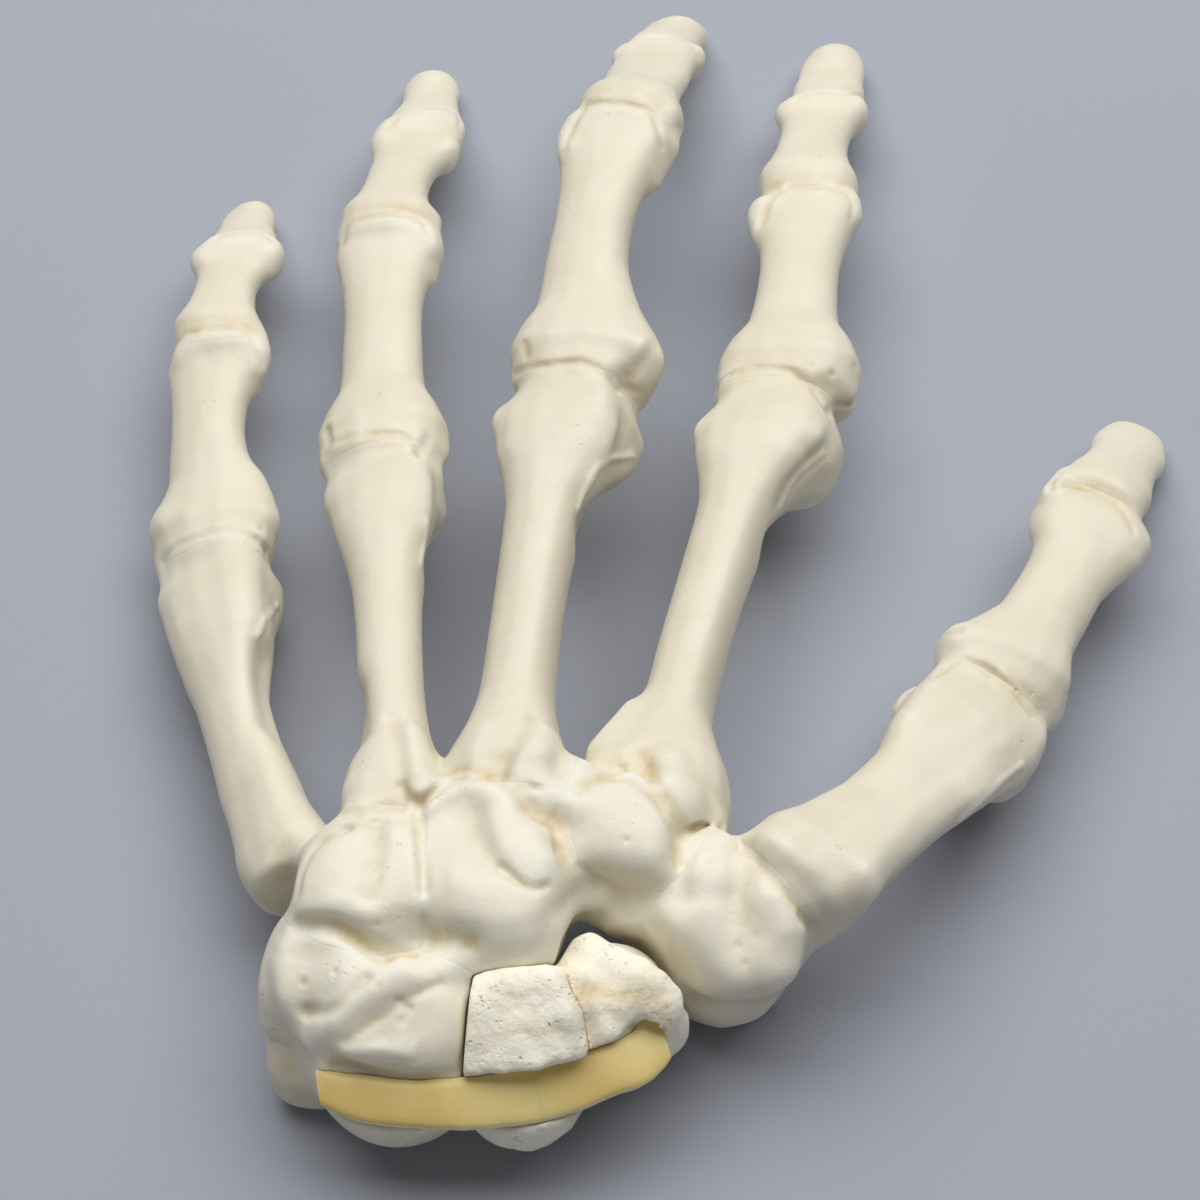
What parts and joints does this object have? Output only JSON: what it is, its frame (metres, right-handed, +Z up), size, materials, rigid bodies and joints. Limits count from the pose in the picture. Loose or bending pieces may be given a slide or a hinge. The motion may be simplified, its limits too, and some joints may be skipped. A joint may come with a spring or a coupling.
{
  "type": "hand fracture model",
  "caption": "Teaching model of a left hand's bones, palm down, cast in foam with the joints bonded; the broken scaphoid is loose and held by a flexible strap",
  "frame": {"origin": "the middle of the model's outline on the table that it lies on", "axes": "+Z up from the table to the back of the hand, +Y from the wrist to the fingertips along the middle metacarpal, +X to the thumb"},
  "size_m": [0.128, 0.1872, 0.0262],
  "materials": {
    "cast_foam_cream": "satin skin of a rigid foam casting",
    "cast_foam_white": "satin skin of a rigid foam casting, paler",
    "broken_foam": "matt and grainy, like broken bone",
    "strap_rubber": "soft, slightly see-through"
  },
  "bodies": {
    "hand": {"thumb_metacarpal": "cast_foam_cream", "thumb_proximal_phalanx": "cast_foam_cream", "thumb_distal_phalanx": "cast_foam_cream", "index_metacarpal": "cast_foam_cream", "index_proximal_phalanx": "cast_foam_cream", "index_middle_phalanx": "cast_foam_cream", "index_distal_phalanx": "cast_foam_cream", "middle_metacarpal": "cast_foam_cream", "middle_proximal_phalanx": "cast_foam_cream", "middle_middle_phalanx": "cast_foam_cream", "middle_distal_phalanx": "cast_foam_cream", "ring_metacarpal": "cast_foam_cream", "ring_proximal_phalanx": "cast_foam_cream", "ring_middle_phalanx": "cast_foam_cream", "ring_distal_phalanx": "cast_foam_cream", "little_metacarpal": "cast_foam_cream", "little_proximal_phalanx": "cast_foam_cream", "little_middle_phalanx": "cast_foam_cream", "little_distal_phalanx": "cast_foam_cream", "capitate": "cast_foam_white", "hamate": "cast_foam_white", "trapezoid": "cast_foam_white", "trapezium": "cast_foam_white", "triquetrum": "cast_foam_white", "pisiform": "cast_foam_white", "lunate": "cast_foam_white", "thumb_sesamoid": "cast_foam_white", "strap_on_lunate": "strap_rubber"},
    "proximal_fragment": {"scaphoid_proximal": "broken_foam", "strap_on_scaphoid_proximal": "strap_rubber"},
    "distal_fragment": {"scaphoid_distal": "broken_foam", "strap_on_scaphoid_distal": "strap_rubber"}
  },
  "joints": [
    {"name": "lunate_gap_hinge", "type": "hinge", "parent": "hand", "child": "proximal_fragment", "pos_m": [-0.01139, -0.09112, 0.01434], "axis": [0.031, -0.7078, -0.7058], "range_deg": [0, 25], "stiffness_Nm_per_rad": 0.05},
    {"name": "fracture_hinge", "type": "hinge", "parent": "proximal_fragment", "child": "distal_fragment", "pos_m": [0.00504, -0.08553, 0.01434], "axis": [0.3905, -0.5887, -0.7078], "range_deg": [0, 4], "stiffness_Nm_per_rad": 0.05}
  ]
}
